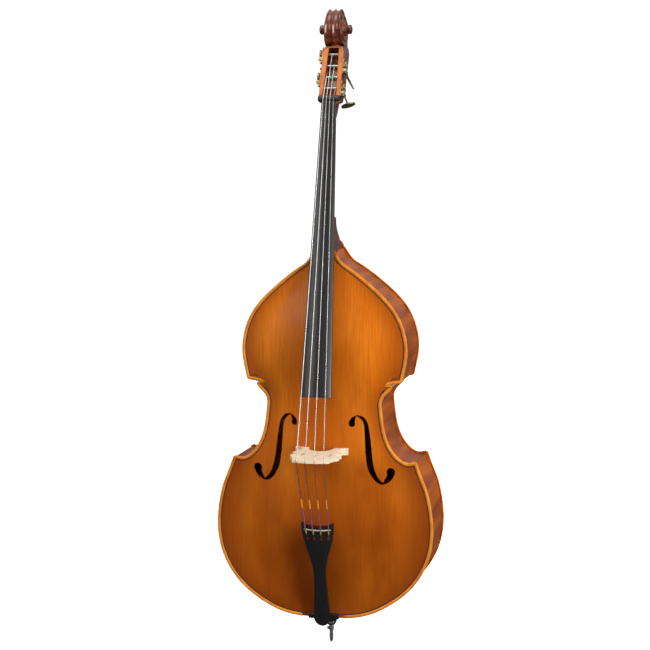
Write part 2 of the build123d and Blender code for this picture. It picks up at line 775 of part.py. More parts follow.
with BuildPart() as tailpiece:
    with BuildSketch(tail_plane.offset(1)):
        with BuildLine():
            Spline((0, -11), (28, -8), (46, 0), tangents=[(1, 0), (1, 0.6)])
            Line((46, 0), (49, -3))
            Spline(
                (49, -3), (46, -40), (31, -95), (19, -150), (18.5, -210), (22, -270), (23.5, -302),
                tangents=[(0, -1), (0, -1)],
            )
            ThreePointArc((23.5, -302), (16, -327), (0, -TAIL_LENGTH))
            mirror(about=Plane.YZ)
        make_face()
    extrude(amount=-16)
    add(tail_bar.part, mode=Mode.INTERSECT)
    add(tail_hollow.part, mode=Mode.SUBTRACT)
    for n in range(4):
        key_hole = (STRING_AT_HOLE[n], -HOLE_DOWN)
        with BuildSketch(tail_plane.offset(3)):
            with Locations(key_hole):
                Circle(5.2)
            with BuildLine():
                Polyline(
                    (STRING_AT_HOLE[n] - 2.2, -HOLE_DOWN), (STRING_AT_HOLE[n] + 2.2, -HOLE_DOWN),
                    (STRING_AT_FRET[n] + 2.2, -FRET_DOWN - 4), (STRING_AT_FRET[n] - 2.2, -FRET_DOWN - 4),
                    close=True,
                )
            make_face()
        extrude(amount=-30, mode=Mode.SUBTRACT)
    add(tail_fret.part, mode=Mode.SUBTRACT)
    for part in strings:
        add(part, mode=Mode.SUBTRACT)
    add(tail_wire.part, mode=Mode.SUBTRACT)

# ---------------------------------------------------------------- endpin
with BuildPart() as collar:
    with BuildSketch(Plane.XZ):
        with BuildLine():
            Polyline(
                (ROD_RADIUS + RUNNING, 150), (13.5, 150), (15, 108), (22, 108), (22, 101),
                (COLLAR_GROOVE, 100), (COLLAR_GROOVE, 94), (19.5, 92.5), (16.5, 66),
                (13.2, 66), (13.2, 60), (12.5, 60), (11, 54), (SLEEVE_RADIUS, 54),
                (SLEEVE_RADIUS, 88), (ROD_RADIUS + RUNNING, 88), close=True,
            )
        make_face()
    revolve(axis=Axis.Z)

with BuildPart() as ferrule:
    with BuildSketch(Plane.XZ):
        with BuildLine():
            Polyline((13.2, 60), (15.2, 60), (16.2, 66), (13.2, 66), close=True)
        make_face()
    revolve(axis=Axis.Z)

screw_out = Vector(-0.5, -0.866, 0)
screw_plane = Plane(origin=(0, 0, SCREW_LEVEL), x_dir=(0, 0, 1), z_dir=screw_out)

with BuildPart() as sleeve:
    with Locations((0, 0, (SLEEVE_LOW + 88) / 2)):
        Cylinder(SLEEVE_RADIUS, 88 - SLEEVE_LOW)
        Cylinder(ROD_RADIUS + RUNNING, 90, mode=Mode.SUBTRACT)
    with BuildSketch(screw_plane):
        Circle(2 + RUNNING)
    extrude(amount=20, mode=Mode.SUBTRACT)

with BuildPart() as endpin_screw:
    with BuildSketch(screw_plane.offset(ROD_RADIUS + 0.3)):
        Circle(2)
    extrude(amount=4.7)
    with BuildSketch(screw_plane.offset(10)):
        with BuildLine():
            Polyline(
                *[
                    (r * math.cos(math.pi * i / 12), r * math.sin(math.pi * i / 12))
                    for i in range(24)
                    for r in ((4.4, 4.8)[i % 2],)
                ],
                close=True,
            )
        make_face()
    extrude(amount=5)

with BuildPart() as rod:
    with Locations((0, 0, (12 + ROD_TOP) / 2)):
        Cylinder(ROD_RADIUS, ROD_TOP - 12)
    chamfer(rod.edges().group_by(Axis.Z)[-1], 1)

with BuildPart() as tip:
    with BuildSketch(Plane.XZ):
        with BuildLine():
            Polyline((0, 0), (2.2, 0), (4.2, 4), (ROD_RADIUS, 12), (0, 12), close=True)
        make_face()
    revolve(axis=Axis.Z)

# ---------------------------------------------------------------- saddle
with BuildPart() as saddle:
    with BuildSketch(Plane.YZ):
        with BuildLine():
            Line((-99, 101), (-110, 101))
            ThreePointArc((-110, 101), (-112.4, 102), (-113.4, 104.5))
            Line((-113.4, 104.5), (-113.4, 113))
            ThreePointArc((-113.4, 113), (-112, 116.5), (-108.5, 118))
            Line((-108.5, 118), (-99, 118))
            Line((-99, 118), (-99, 101))
        make_face()
    extrude(amount=45, both=True)

# ---------------------------------------------------------------- plates
with BuildPart() as heel_room:
    with BuildSketch(Plane.XY.offset(1187)):
        with BuildLine():
            Polyline((-33, -140), (33, -140), (24, 60), (-24, 60), close=True)
        make_face()
    extrude(amount=40)

with BuildPart() as purfling_top:
    add(purfling_ring(arch_space(-1, PURFLING_DEEP), outer_front))
    add(heel_room.part, mode=Mode.SUBTRACT)
    add(saddle.part, mode=Mode.SUBTRACT)

with BuildPart() as purfling_back:
    add(purfling_ring(arch_space(1, PURFLING_DEEP), outer_back))

# f-hole of the treble side, drawn flat
with BuildSketch() as f_hole:
    with BuildLine():
        Spline(
            (77.2, 697), (90, 715), (102, 720), (115, 717.5), (128, 706), (136, 684),
            (142.5, 642), (147, 600), (155.5, 557), (166, 535), (180, 521),
        )
        Line((180, 521), (191, 545))
        Line((191, 545), (213, 548))
        Spline(
            (213, 548), (211, 539.6), (202, 527), (189, 518), (176, 515.2), (161, 520.5),
            (148, 534), (137.5, 551), (128.4, 590), (124.5, 640), (122, 681), (117.5, 700),
            (109, 710.5), (99, 716.5),
        )
        Line((99, 716.5), (95, 699))
        Line((95, 699), (77.2, 697))
    make_face()
    with Locations((87, 695)):
        Circle(10)
    with Locations((202, 552)):
        Circle(13.2)
    with Locations(Location((144.6, 620.7), 45)):
        Rectangle(4, 4)
    with Locations(Location((126.4, 611), 45)):
        Rectangle(4, 4)

with BuildPart() as f_cut:
    with BuildSketch(Plane.XZ.offset(200)):
        add(f_hole.sketch)
        mirror(about=Plane.YZ)
    extrude(amount=-150)

with BuildPart() as top_plate:
    with BuildSketch(Plane.XZ.offset(200)):
        add(outline.sketch)
    extrude(amount=-(200 + RIB_FRONT))
    add(outer_front, mode=Mode.INTERSECT)
    add(inner_front, mode=Mode.SUBTRACT)
    add(f_cut.part, mode=Mode.SUBTRACT)
    add(purfling_top.part, mode=Mode.SUBTRACT)
    add(saddle.part, mode=Mode.SUBTRACT)
    add(heel_room.part, mode=Mode.SUBTRACT)

with BuildPart() as back_plate:
    with BuildSketch(Plane.XZ.offset(100)):
        add(outline.sketch)
        with Locations((0, BODY_TOP)):
            Circle(27)
    extrude(amount=-300)
    add(outer_back, mode=Mode.INTERSECT)
    add(inner_back, mode=Mode.SUBTRACT)
    add(rib_depth.part, mode=Mode.SUBTRACT)
    add(purfling_back.part, mode=Mode.SUBTRACT)

# ---------------------------------------------------------------- ribs, blocks and linings


def mitre(which):
    """The joint line between two ribs at a corner, run on both ways."""
    ox, oz = corner_points[OVERHANG][which]
    ix, iz = corner_points[OVERHANG + RIB_THICK][which]
    size = math.hypot(ox - ix, oz - iz)
    wx = (ox - ix) / size
    wz = (oz - iz) / size
    return (ox + 12 * wx, oz + 12 * wz), (ix - 30 * wx, iz - 30 * wz)


low_out, low_in = mitre(0)
high_out, high_in = mitre(1)
rib_regions = {
    "lower": ((0, 60), (420, 60), (420, low_out[1]), low_out, low_in, (0, low_in[1])),
    "c": (low_out, low_in, (0, low_in[1]), (0, high_in[1]), high_in, high_out,
          (420, high_out[1]), (420, low_out[1])),
    "upper": ((0, high_in[1]), high_in, high_out, (420, high_out[1]), (420, 1300), (0, 1300)),
}
with BuildPart() as endpin_bore:
    with BuildSketch(Plane.XZ):
        with BuildLine():
            Polyline((0, 150), (13.5, 150), (15, 108), (22, 108), (22, 80), (0, 80), close=True)
        make_face()
    revolve(axis=Axis.Z)

ribs = {}
for name, region in rib_regions.items():
    for side in (-1, 1):
        with BuildPart() as rib:
            with BuildSketch(Plane.XZ.offset(200)):
                with BuildLine():
                    Polyline(*[(side * x, z) for x, z in region], close=True)
                make_face()
            extrude(amount=-400)
            add(rib_ring.part, mode=Mode.INTERSECT)
            add(heel_room.part, mode=Mode.SUBTRACT)
            add(endpin_bore.part, mode=Mode.SUBTRACT)
        ribs[name, side] = rib.part.solids().sort_by(SortBy.VOLUME)[-1]


def block_from(regions):
    """Wood filling the inside of the ribs within flat regions."""
    with BuildPart() as block:
        with BuildSketch(Plane.XZ.offset(200)):
            for region in regions:
                with BuildLine():
                    Polyline(*region, close=True)
                make_face()
        extrude(amount=-400)
        add(inside.part, mode=Mode.INTERSECT)
        add(heel_room.part, mode=Mode.SUBTRACT)
        add(endpin_bore.part, mode=Mode.SUBTRACT)
    return block.part


neck_block = block_from([[(-66, 1145), (66, 1145), (66, 1300), (-66, 1300)]])
end_block = block_from([[(-75, 60), (75, 60), (75, 150), (-75, 150)]])
corner_regions = []
LOWER_CORNER = ((300, 540), (262, 530), (214, 560), (225, 640), (300, 640))
UPPER_CORNER = ((270, 870), (224, 872), (186, 830), (182, 760), (270, 760))
for side in (-1, 1):
    for corner in (LOWER_CORNER, UPPER_CORNER):
        corner_regions.append([(side * x, z) for x, z in corner])
corner_blocks = block_from(corner_regions)

with BuildPart() as linings:
    with BuildSketch(Plane.XZ.offset(-RIB_FRONT)):
        add(inset(OVERHANG + RIB_THICK))
    extrude(amount=-18)
    with BuildSketch(Plane.XZ.offset(200)):
        add(inset(OVERHANG + RIB_THICK))
    extrude(amount=-400)
    add(rib_depth.part, mode=Mode.INTERSECT)
    with BuildSketch(Plane.XZ.offset(200)):
        add(inset(OVERHANG + RIB_THICK + 7))
    extrude(amount=-400, mode=Mode.SUBTRACT)
    with BuildSketch(Plane.YZ):
        with BuildLine():
            Line((RIB_FRONT + 18, 60), (RIB_BACK - 18, 60))
            Line((RIB_BACK - 18, 60), (RIB_BACK - 18, TAPER_START))
            ThreePointArc(
                (RIB_BACK - 18, TAPER_START),
                (RIB_BACK - 18 - taper(1130), 1130),
                (RIB_BACK - 18 - taper(1250), 1250),
            )
            Line((RIB_BACK - 18 - taper(1250), 1250), (RIB_FRONT + 18, 1250))
            Line((RIB_FRONT + 18, 1250), (RIB_FRONT + 18, 60))
        make_face()
    extrude(amount=360, both=True, mode=Mode.SUBTRACT)
    add(neck_block, mode=Mode.SUBTRACT)
    add(end_block, mode=Mode.SUBTRACT)
    add(corner_blocks, mode=Mode.SUBTRACT)
    add(heel_room.part, mode=Mode.SUBTRACT)

with BuildPart() as bass_bar:
    with BuildSketch(Plane.YZ.offset(-50)):
        with BuildLine():
            Line((-160, 330), (-160, 900))
            Line((-160, 900), (-101, 900))
            Spline((-101, 900), (-86, 760), (-84, 615), (-86, 470), (-101, 330))
            Line((-101, 330), (-160, 330))
        make_face()
    extrude(amount=8, both=True)
    add(inner_front, mode=Mode.INTERSECT)

with BuildPart() as sound_post:
    with BuildSketch(Plane.XZ.offset(160)):
        with Locations((52, 588)):
            Circle(9)
    extrude(amount=-320)
    add(inner_front, mode=Mode.INTERSECT)
    add(inner_back, mode=Mode.INTERSECT)

# ---------------------------------------------------------------- the files
files = {
    "top_plate": top_plate.part,
    "back_plate": back_plate.part,
    "purfling_top": purfling_top.part,
    "purfling_back": purfling_back.part,
    "rib_lower_bass": ribs["lower", -1],
    "rib_lower_treble": ribs["lower", 1],
    "rib_c_bass": ribs["c", -1],
    "rib_c_treble": ribs["c", 1],
    "rib_upper_bass": ribs["upper", -1],
    "rib_upper_treble": ribs["upper", 1],
    "linings": linings.part,
    "neck_block": neck_block,
    "end_block": end_block,
    "corner_blocks": corner_blocks,
    "bass_bar": bass_bar.part,
    "sound_post": sound_post.part,
    "neck": neck.part,
    "fingerboard": fingerboard.part,
    "nut": nut.part,
    "saddle": saddle.part,
    "bridge": bridge.part,
    "tailpiece": tailpiece.part,
    "tail_fret": tail_fret.part,
    "tail_wire": tail_wire.part,
    "endpin_collar": collar.part,
    "endpin_ferrule": ferrule.part,
    "endpin_sleeve": sleeve.part,
    "endpin_screw": endpin_screw.part,
    "endpin_rod": rod.part,
    "endpin_tip": tip.part,
    "machine_plates_bass": plates[-1],
    "machine_plates_treble": plates[1],
    "worm_brackets_bass": brackets[-1],
    "worm_brackets_treble": brackets[1],
    "plate_screws_bass": screws[-1],
    "plate_screws_treble": screws[1],
}
for n, note in enumerate("eadg"):
    files["string_" + note] = strings[n]
for k in range(4):
    files["post_" + str(k + 1)] = posts[k]
    files["gear_" + str(k + 1)] = gears[k]
    files["worm_" + str(k + 1)] = worms[k]
    files["key_" + str(k + 1)] = keys[k]

for name, part in files.items():
    part.label = name
    export_step(part, "parts/" + name + ".step")
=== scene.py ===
import math

import bmesh
import bpy
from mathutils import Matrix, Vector


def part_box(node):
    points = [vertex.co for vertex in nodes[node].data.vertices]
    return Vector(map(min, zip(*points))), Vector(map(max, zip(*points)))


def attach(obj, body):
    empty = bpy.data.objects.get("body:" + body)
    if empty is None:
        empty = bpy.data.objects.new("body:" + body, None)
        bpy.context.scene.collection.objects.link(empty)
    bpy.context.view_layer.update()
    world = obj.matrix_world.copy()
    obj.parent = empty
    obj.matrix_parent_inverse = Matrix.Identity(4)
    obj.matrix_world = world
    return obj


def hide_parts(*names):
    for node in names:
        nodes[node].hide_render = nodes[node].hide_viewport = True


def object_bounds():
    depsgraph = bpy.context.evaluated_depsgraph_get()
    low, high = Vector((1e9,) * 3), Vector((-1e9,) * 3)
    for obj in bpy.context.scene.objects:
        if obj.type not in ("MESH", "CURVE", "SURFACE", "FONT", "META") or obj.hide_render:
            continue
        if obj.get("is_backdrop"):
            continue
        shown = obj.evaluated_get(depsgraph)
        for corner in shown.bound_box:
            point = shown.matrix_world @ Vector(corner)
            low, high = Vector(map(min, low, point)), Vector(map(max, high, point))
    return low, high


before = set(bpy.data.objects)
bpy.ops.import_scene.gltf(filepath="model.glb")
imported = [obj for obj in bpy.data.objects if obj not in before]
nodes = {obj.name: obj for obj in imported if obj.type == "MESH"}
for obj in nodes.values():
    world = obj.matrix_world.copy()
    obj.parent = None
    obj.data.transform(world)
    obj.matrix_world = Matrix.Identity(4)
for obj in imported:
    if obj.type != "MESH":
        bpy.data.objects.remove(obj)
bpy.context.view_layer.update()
scene = bpy.context.scene

STRINGS = "eadg"


# ---------------------------------------------------------------- materials
class Look:
    """A procedural material on the piece's own coordinates, in the row frame."""

    def __init__(self, name, rough=0.4, metal=0.0, coat=0.0, coat_rough=0.1):
        self.mat = bpy.data.materials.new(name)
        self.mat.use_nodes = True
        self.tree = self.mat.node_tree
        self.shader = self.tree.nodes["Principled BSDF"]
        self.shader.inputs["Roughness"].default_value = rough
        self.shader.inputs["Metallic"].default_value = metal
        self.shader.inputs["Coat Weight"].default_value = coat
        self.shader.inputs["Coat Roughness"].default_value = coat_rough
        self.place = self.tree.nodes.new("ShaderNodeTexCoord").outputs["Object"]

    def node(self, kind, **values):
        made = self.tree.nodes.new("ShaderNode" + kind)
        for key, value in values.items():
            setattr(made, key, value)
        return made

    def link(self, source, target):
        self.tree.links.new(source, target)

    def stretched(self, scale, turn=(0, 0, 0)):
        mapping = self.node("Mapping")
        mapping.inputs["Scale"].default_value = scale
        mapping.inputs["Rotation"].default_value = turn
        self.link(self.place, mapping.inputs["Vector"])
        return mapping.outputs["Vector"]

    def noise(self, scale, detail=4.0, rough=0.55, stretch=(1, 1, 1), turn=(0, 0, 0), warp=0.0):
        made = self.node("TexNoise")
        made.inputs["Scale"].default_value = scale
        made.inputs["Detail"].default_value = detail
        made.inputs["Roughness"].default_value = rough
        made.inputs["Distortion"].default_value = warp
        self.link(self.stretched(stretch, turn), made.inputs["Vector"])
        return made.outputs["Fac"]

    def axis(self, which):
        made = self.node("SeparateXYZ")
        self.link(self.place, made.inputs["Vector"])
        return made.outputs[which]

    def math(self, kind, a, b=None, clamp=False):
        made = self.node("Math", operation=kind, use_clamp=clamp)
        for socket, value in zip(made.inputs, (a, b)):
            if value is None:
                continue
            if isinstance(value, (int, float)):
                socket.default_value = value
            else:
                self.link(value, socket)
        return made.outputs[0]

    def ramp(self, source, stops):
        made = self.node("ValToRGB")
        band = made.color_ramp
        band.elements[0].position, band.elements[0].color = stops[0][0], (*stops[0][1], 1)
        band.elements[1].position, band.elements[1].color = stops[-1][0], (*stops[-1][1], 1)
        for at, colour in stops[1:-1]:
            band.elements.new(at).color = (*colour, 1)
        self.link(source, made.inputs["Fac"])
        return made.outputs["Color"]

    def grey(self, source, low, high, dark=0.0, light=1.0):
        made = self.node("MapRange")
        for key, value in (("From Min", low), ("From Max", high), ("To Min", dark), ("To Max", light)):
            made.inputs[key].default_value = value
        self.link(source, made.inputs["Value"])
        return made.outputs["Result"]

    def mix(self, a, b, factor, kind="MIX"):
        made = self.node("Mix", data_type="RGBA", blend_type=kind)
        for socket, value in ((made.inputs[0], factor), (made.inputs[6], a), (made.inputs[7], b)):
            if isinstance(value, (int, float)):
                socket.default_value = value
            elif isinstance(value, tuple):
                socket.default_value = (*value, 1)
            else:
                self.link(value, socket)
        return made.outputs[2]

    def colour(self, source):
        self.link(source, self.shader.inputs["Base Color"])

    def roughness(self, source):
        self.link(source, self.shader.inputs["Roughness"])

    def bump(self, source, strength, distance=0.0004):
        made = self.node("Bump")
        made.inputs["Strength"].default_value = strength
        made.inputs["Distance"].default_value = distance
        self.link(source, made.inputs["Height"])
        self.link(made.outputs["Normal"], self.shader.inputs["Normal"])
        return self.mat


# half width of the plates against height, both in metres
WIDTHS = (
    (0.10, 0.06), (0.13, 0.18), (0.20, 0.265), (0.30, 0.307), (0.40, 0.318), (0.52, 0.285),
    (0.60, 0.235), (0.68, 0.185), (0.76, 0.172), (0.84, 0.215), (0.92, 0.243), (1.00, 0.225),
    (1.08, 0.165), (1.15, 0.085), (1.21, 0.04),
)


def edge_nearness(look):
    """0 along the middle of a plate and 1 at its edge."""
    curve = look.node("FloatCurve")
    points = curve.mapping.curves[0].points
    points[0].location = (WIDTHS[0][0] / 2, WIDTHS[0][1])
    points[1].location = (WIDTHS[-1][0] / 2, WIDTHS[-1][1])
    for z, half in WIDTHS[1:-1]:
        points.new(z / 2, half)
    curve.mapping.update()
    look.link(look.math("DIVIDE", look.axis(2), 2.0), curve.inputs["Value"])
    return look.math("DIVIDE", look.math("ABSOLUTE", look.axis(0)), curve.outputs[0])


def spruce():
    look = Look("spruce_varnish", rough=0.4, coat=0.06, coat_rough=0.16)
    look.shader.inputs["Specular IOR Level"].default_value = 0.15
    grain = look.noise(30, 3, 0.5, stretch=(14, 1, 0.35))
    fine = look.noise(120, 2, 0.6, stretch=(6, 1, 0.08))
    cloud = look.noise(5, 3, 0.5, stretch=(1.4, 1, 0.7))
    silk = look.noise(55, 3, 0.6, stretch=(1.2, 1, 5))
    base = look.ramp(cloud, [
        (0.3, (0.56, 0.115, 0.003)), (0.5, (0.71, 0.168, 0.004)), (0.72, (0.86, 0.245, 0.008)),
    ])
    base = look.mix(base, (0.36, 0.075, 0.004), look.grey(grain, 0.46, 0.7, 0.0, 0.42))
    base = look.mix(base, (0.25, 0.05, 0.006), look.grey(fine, 0.5, 0.75, 0.0, 0.4))
    base = look.mix(base, (0.90, 0.31, 0.016), look.grey(silk, 0.58, 0.75, 0.0, 0.22))
    near = look.math("ADD", edge_nearness(look), look.grey(cloud, 0.3, 0.7, -0.09, 0.09))
    base = look.mix(base, (0.27, 0.045, 0.003), look.grey(near, 0.72, 1.02, 0.0, 0.8))
    # painted shade: a darker band down the middle of the top, strongest along the centre joint
    middle = look.grey(look.math("ABSOLUTE", look.axis(0)), 0.15, 0.02, 0.0, 0.5)
    base = look.mix(base, (0.43, 0.09, 0.004), middle)
    # painted shade: the top darkens towards its bottom, the gradient wavering with the cloud noise
    low = look.math("ADD", look.axis(2), look.grey(cloud, 0.3, 0.7, -0.12, 0.12))
    base = look.mix(base, (0.17, 0.026, 0.001), look.grey(low, 0.8, 0.08, 0.0, 0.82))
    look.colour(base)
    look.roughness(look.grey(cloud, 0.3, 0.7, 0.34, 0.46))
    return look.bump(grain, 0.12, 0.0003)


def maple(name, light, dark, flame_stretch, flame_scale=16, turn=(0, 0, 0), amount=0.75):
    look = Look(name, rough=0.38, coat=0.04, coat_rough=0.16)
    look.shader.inputs["Specular IOR Level"].default_value = 0.14
    flame = look.noise(flame_scale, 2, 0.45, stretch=flame_stretch, turn=turn, warp=0.25)
    cloud = look.noise(6, 3, 0.5)
    pores = look.noise(240, 2, 0.6, stretch=(1, 1, 0.12))
    between = tuple((a + b) / 2 for a, b in zip(light, dark))
    base = look.ramp(flame, [(0.36, dark), (0.5, between), (0.64, light)])
    base = look.mix(tuple(0.6 * a + 0.4 * b for a, b in zip(dark, light)), base, amount)
    base = look.mix(base, dark, look.grey(cloud, 0.42, 0.75, 0.0, 0.6))
    base = look.mix(base, tuple(0.4 * c for c in dark), look.grey(pores, 0.55, 0.8, 0.0, 0.5))
    look.colour(base)
    look.roughness(look.grey(flame, 0.3, 0.7, 0.24, 0.36))
    return look.bump(pores, 0.1, 0.0002)


def scroll_wood():
    """Dark red-brown, worn to orange on the pegbox's front edges."""
    look = Look("scroll_varnish", rough=0.28, coat=0.45, coat_rough=0.12)
    flame = look.noise(26, 2, 0.45, stretch=(0.3, 0.5, 2.2), warp=0.3)
    cloud = look.noise(22, 4, 0.55)
    pores = look.noise(260, 2, 0.6, stretch=(1, 1, 0.15))
    base = look.ramp(flame, [(0.35, (0.085, 0.014, 0.006)), (0.65, (0.2, 0.038, 0.012))])
    base = look.mix(base, (0.05, 0.009, 0.005), look.grey(cloud, 0.45, 0.75, 0.0, 0.55))
    base = look.mix(base, (0.03, 0.006, 0.004), look.grey(pores, 0.55, 0.8, 0.0, 0.5))
    normal = look.node("NewGeometry").outputs["Normal"]
    facing = look.node("SeparateXYZ")
    look.link(normal, facing.inputs["Vector"])
    front = look.grey(facing.outputs[1], -0.45, -0.9, 0.0, 1.0)
    low = look.grey(look.axis(2), 1.83, 1.79, 0.0, 1.0)
    worn = look.math("MULTIPLY", look.math("MULTIPLY", front, low), look.grey(cloud, 0.35, 0.6, 0.55, 1.0))
    base = look.mix(base, (0.66, 0.17, 0.012), worn)
    look.colour(base)
    look.roughness(look.grey(cloud, 0.3, 0.7, 0.22, 0.36))
    return look.bump(pores, 0.08, 0.0002)


def plain_wood(name, light, dark, rough, stretch, scale=60, bump=0.2, coat=0.0):
    look = Look(name, rough=rough, coat=coat)
    grain = look.noise(scale, 4, 0.6, stretch=stretch)
    cloud = look.noise(14, 3, 0.5)
    base = look.ramp(grain, [(0.35, dark), (0.65, light)])
    base = look.mix(base, dark, look.grey(cloud, 0.45, 0.8, 0.0, 0.4))
    look.colour(base)
    look.roughness(look.grey(grain, 0.3, 0.7, rough * 0.85, rough * 1.2))
    return look.bump(grain, bump, 0.0002)


def metal(name, light, dark, rough, stain=0.5, brushed=(1, 1, 1)):
    look = Look(name, rough=rough, metal=1.0)
    cloud = look.noise(45, 4, 0.6)
    brush = look.noise(300, 2, 0.6, stretch=brushed)
    base = look.mix(light, dark, look.grey(cloud, 0.42, 0.7, 0.0, stain))
    base = look.mix(base, dark, look.grey(brush, 0.5, 0.8, 0.0, 0.35))
    look.colour(base)
    look.roughness(look.grey(cloud, 0.3, 0.7, rough * 0.8, rough * 1.35))
    return look.bump(brush, 0.08, 0.0001)


def wound(name, light, dark, pitch=1400.0, metallic=1.0, rough=0.3):
    """A string's or a silk's winding, as fine rings along its length."""
    look = Look(name, rough=rough, metal=metallic)
    rings = look.node("TexWave", wave_type="BANDS", bands_direction="Z")
    rings.inputs["Scale"].default_value = pitch / 20
    rings.inputs["Distortion"].default_value = 0.4
    look.link(look.place, rings.inputs["Vector"])
    cloud = look.noise(30, 3, 0.5)
    base = look.ramp(rings.outputs["Fac"], [(0.1, dark), (0.6, light)])
    base = look.mix(base, dark, look.grey(cloud, 0.45, 0.75, 0.0, 0.4))
    look.colour(base)
    look.roughness(look.grey(cloud, 0.3, 0.7, rough * 0.8, rough * 1.3))
    return look.bump(rings.outputs["Fac"], 0.3, 0.0001)


def still(name, tint, rough):
    """The stage's plain matt surface."""
    look = Look(name, rough=rough)
    cloud = look.noise(2, 2, 0.5)
    shade = look.mix(tint, tuple(0.985 * c for c in tint), cloud)
    look.colour(shade)
    look.link(shade, look.shader.inputs["Emission Color"])
    look.shader.inputs["Emission Strength"].default_value = 0.85
    return look.mat


RED_LIGHT, RED_DARK = (0.60, 0.145, 0.010), (0.26, 0.043, 0.004)
looks = {
    "spruce": spruce(),
    "bead": maple("edge_bead", (0.9, 0.36, 0.04), (0.62, 0.17, 0.014), (1, 1, 1), 30, amount=0.5),
    "rib": maple("rib_maple", RED_LIGHT, RED_DARK, (2.2, 0.18, 2.2), 15),
    "back": maple("back_maple", RED_LIGHT, RED_DARK, (0.22, 1, 2.6), 15),
    "scroll": scroll_wood(),
    "bare": plain_wood("bare_spruce", (0.72, 0.53, 0.3), (0.55, 0.36, 0.18), 0.6, (4, 4, 0.4)),
    "purfling": plain_wood("purfling_dyed", (0.05, 0.02, 0.012), (0.012, 0.006, 0.005), 0.5, (3, 3, 3)),
    "ebony": plain_wood("ebony_satin", (0.014, 0.0135, 0.015), (0.006, 0.0058, 0.0065), 0.38, (9, 9, 0.3),
                        90, 0.12, coat=0.05),
    "bridge": plain_wood("bridge_maple", (0.93, 0.83, 0.63), (0.82, 0.67, 0.45), 0.5, (1, 1, 6), 120, 0.15),
    "bone": plain_wood("pale_fret", (0.8, 0.76, 0.66), (0.62, 0.56, 0.44), 0.4, (2, 2, 2), 90, 0.1),
    "brass": metal("aged_brass", (0.6, 0.43, 0.19), (0.2, 0.13, 0.05), 0.3, stain=0.8),
    "bronze": metal("key_bronze", (0.34, 0.27, 0.15), (0.12, 0.085, 0.045), 0.34),
    "steel": metal("bright_steel", (0.62, 0.62, 0.63), (0.35, 0.35, 0.36), 0.26, brushed=(1, 1, 0.1)),
    "nickel": metal("plated_ring", (0.8, 0.79, 0.77), (0.5, 0.49, 0.47), 0.15, 0.3),
    "string": wound("flat_wound_steel", (0.66, 0.65, 0.63), (0.3, 0.29, 0.28)),
    "gold_silk": wound("gold_silk", (0.95, 0.52, 0.06), (0.7, 0.3, 0.03), metallic=0.0, rough=0.5),
    "purple_silk": wound("purple_silk", (0.36, 0.1, 0.3), (0.16, 0.04, 0.14), metallic=0.0, rough=0.5),
    "green_silk": wound("green_silk", (0.05, 0.55, 0.38), (0.015, 0.2, 0.13), metallic=0.0, rough=0.5),
}

NODE_LOOKS = {
    "top_plate": "spruce", "back_plate": "back", "purfling_top": "purfling",
    "purfling_back": "purfling", "linings": "bare", "neck_block": "bare", "end_block": "bare",
    "corner_blocks": "bare", "bass_bar": "bare", "sound_post": "bare", "neck": "scroll",
    "fingerboard": "ebony", "nut": "ebony", "saddle": "ebony", "bridge": "bridge",
    "tailpiece": "ebony", "tail_fret": "bone", "tail_wire": "steel", "endpin_collar": "ebony",
    "endpin_ferrule": "nickel", "endpin_sleeve": "steel", "endpin_rod": "steel",
    "endpin_tip": "steel", "endpin_screw": "steel",
}
PREFIX_LOOKS = (
    ("rib_", "rib"), ("machine_plates", "brass"), ("worm_brackets", "brass"),
    ("plate_screws", "brass"), ("string_", "string"), ("post_", "steel"), ("gear_", "brass"),
    ("worm_", "steel"), ("key_", "bronze"),
)


def look_of(name):
    if name in NODE_LOOKS:
        return NODE_LOOKS[name]
    return next(look for prefix, look in PREFIX_LOOKS if name.startswith(prefix))


def soften(obj, width):
    """Small rounded edges and smooth shading, without touching the mesh itself."""
    weld = obj.modifiers.new("weld", "WELD")
    weld.merge_threshold = 0.00001
    bevel = obj.modifiers.new("bevel", "BEVEL")
    bevel.width = width
    bevel.segments = 2
    bevel.limit_method = "ANGLE"
    bevel.angle_limit = math.radians(35)
    bevel.harden_normals = False
    normals = obj.modifiers.new("normals", "WEIGHTED_NORMAL")
    normals.keep_sharp = True


EDGE_WIDTHS = {
    "top_plate": 0.0006, "back_plate": 0.0012, "fingerboard": 0.0009, "nut": 0.0008,
    "bridge": 0.0007, "tailpiece": 0.0010, "saddle": 0.0010, "endpin_collar": 0.0008,
}
NO_BEVEL = ("string_", "worm_", "purfling", "linings", "tail_wire", "gear_", "corner", "bass_bar")
for name, obj in nodes.items():
    obj.data.materials.clear()
    obj.data.materials.append(looks[look_of(name)])
    if not name.startswith(NO_BEVEL):
        soften(obj, EDGE_WIDTHS.get(name, 0.0004))


# ---------------------------------------------------------------- mesh tools
def solid(name, verts, faces, look, body="bass", smooth=True):
    mesh = bpy.data.meshes.new(name)
    mesh.from_pydata([tuple(v) for v in verts], [], faces)
    mesh.validate()
    work = bmesh.new()
    work.from_mesh(mesh)
    bmesh.ops.recalc_face_normals(work, faces=work.faces)
    work.to_mesh(mesh)
    work.free()
    for poly in mesh.polygons:
        poly.use_smooth = smooth
    obj = bpy.data.objects.new(name, mesh)
    scene.collection.objects.link(obj)
    mesh.materials.append(looks[look])
    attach(obj, body)
    return obj


def skin(rings, closed_path=False):
    """Faces over equal rings of points, capped at both ends unless the path closes."""
    count = len(rings[0])
    verts = [p for ring in rings for p in ring]
    faces = []
    last = len(rings) if closed_path else len(rings) - 1
    for i in range(last):
        a, b = i * count, (i + 1) % len(rings) * count
        for j in range(count):
            k = (j + 1) % count
            faces.append((a + j, a + k, b + k, b + j))
    if not closed_path:
        faces.append(tuple(range(count)))
        faces.append(tuple(range(len(verts) - count, len(verts))))
    return verts, faces


